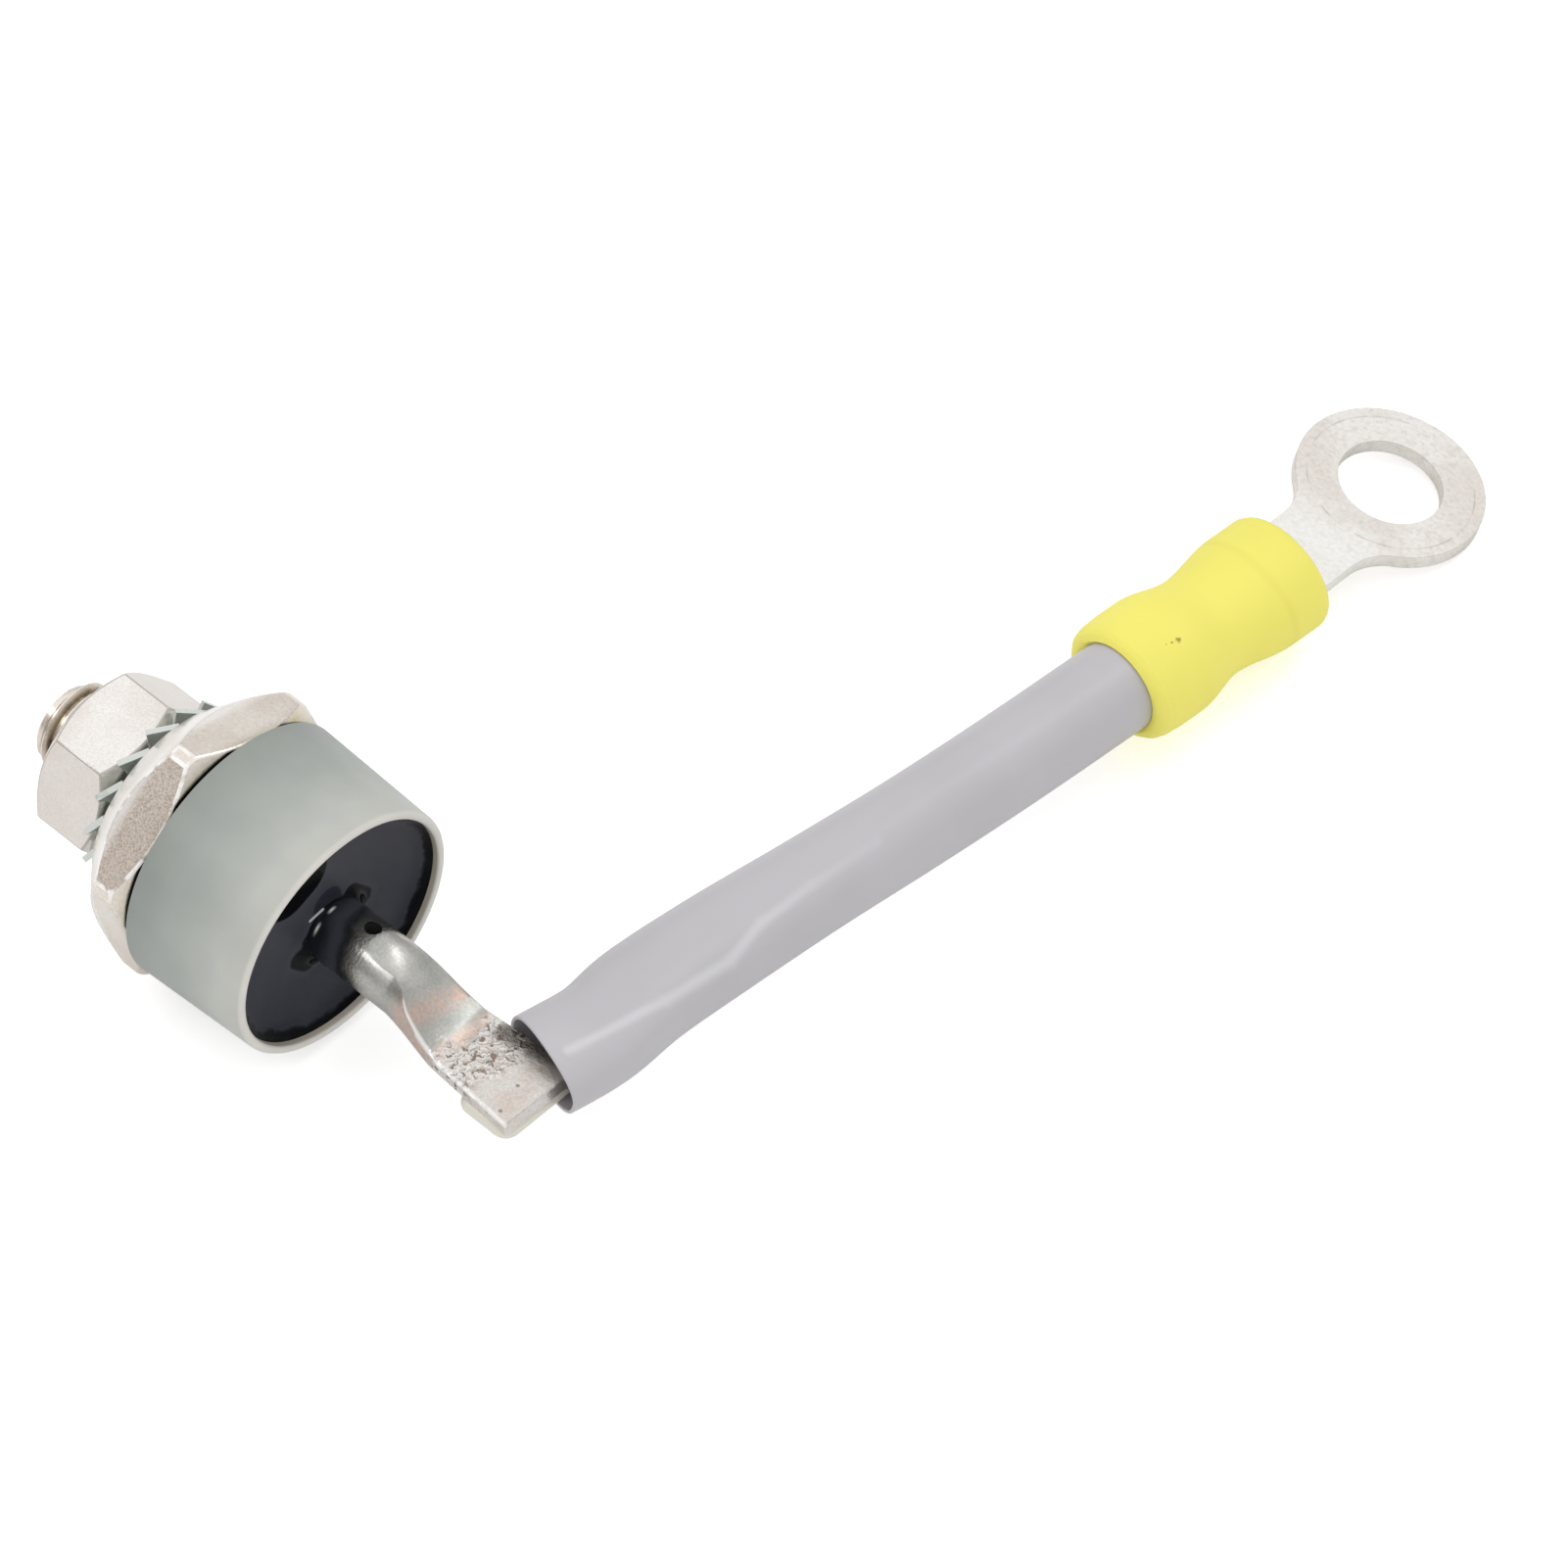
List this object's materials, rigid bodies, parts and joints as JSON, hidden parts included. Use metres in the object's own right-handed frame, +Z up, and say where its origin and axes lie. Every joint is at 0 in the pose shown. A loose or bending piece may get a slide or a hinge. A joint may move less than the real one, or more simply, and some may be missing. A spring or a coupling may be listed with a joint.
{
  "type": "stud mount rectifier diode with lead",
  "caption": "Stud-mounted rectifier diode: hex flange with threaded stud, nut and lock washer, resin-filled cup, flattened tube terminal, sleeved flexible lead and insulated ring terminal.",
  "frame": {"origin": "on the surface it lies on, half way between the stud's tip and the blade's end, straight under the diode's axis", "axes": "+X along the diode's axis from the stud to the blade; +Y the way the lead runs off; +Z up"},
  "size_m": [0.0473, 0.0899, 0.0192],
  "materials": {
    "nickel_plate": "dull nickel plate over copper, warm, with bright edges",
    "zinc_plate": "dark zinc plate",
    "bright_nickel": "bright nickel plate",
    "housing_plastic": "satin pale grey-green",
    "potting_resin": "glossy, near black, with dust",
    "die_solder": "dull grey",
    "silicon": "polished dark grey",
    "tinned_copper": "tinned, stained copper-pink in places",
    "soft_solder": "dull, set from the melt",
    "copper_strand": "bare copper strand, tinned at the flattened end",
    "grey_vinyl": "satin warm grey sleeving",
    "tin_plate": "pale tin plate with fine scratches",
    "yellow_vinyl": "satin yellow vinyl"
  },
  "bodies": {
    "root": {"stud_base": "nickel_plate", "lock_washer": "zinc_plate", "hex_nut": "bright_nickel", "housing": "housing_plastic", "potting": "potting_resin", "lower_solder": "die_solder", "silicon_die": "silicon", "upper_solder": "die_solder", "terminal_tube": "tinned_copper", "solder_joint": "soft_solder", "lead_conductor": "copper_strand", "lead_sleeve": "grey_vinyl", "ring_terminal": "tin_plate", "terminal_insulator": "yellow_vinyl"}
  },
  "joints": []
}
